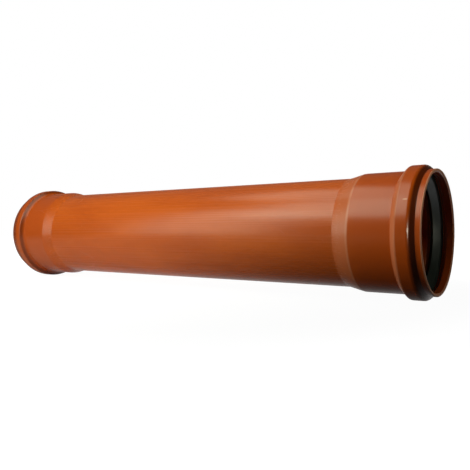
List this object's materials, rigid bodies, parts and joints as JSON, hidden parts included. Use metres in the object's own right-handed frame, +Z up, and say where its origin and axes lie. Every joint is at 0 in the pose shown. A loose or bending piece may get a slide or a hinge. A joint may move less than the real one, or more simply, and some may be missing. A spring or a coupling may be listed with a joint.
{
  "type": "double socket drain pipe",
  "caption": "Short smooth sewer pipe with a formed ring-seal socket at each end, for joining the plain ends of other drain pipes.",
  "frame": {"origin": "on the ground under the middle of the pipe, which lies on its two beads", "axes": "+X along the pipe towards the socket that is near in the picture, +Z up"},
  "size_m": [0.582, 0.1282, 0.1281],
  "materials": {
    "pipe_plastic": "smooth extruded PVC with a satin sheen, orange-brown",
    "seal_rubber": "smooth moulded sealing rubber, black"
  },
  "bodies": {
    "root": {"pipe": "pipe_plastic", "seal_ring_right": "seal_rubber", "seal_ring_left": "seal_rubber"}
  },
  "joints": []
}
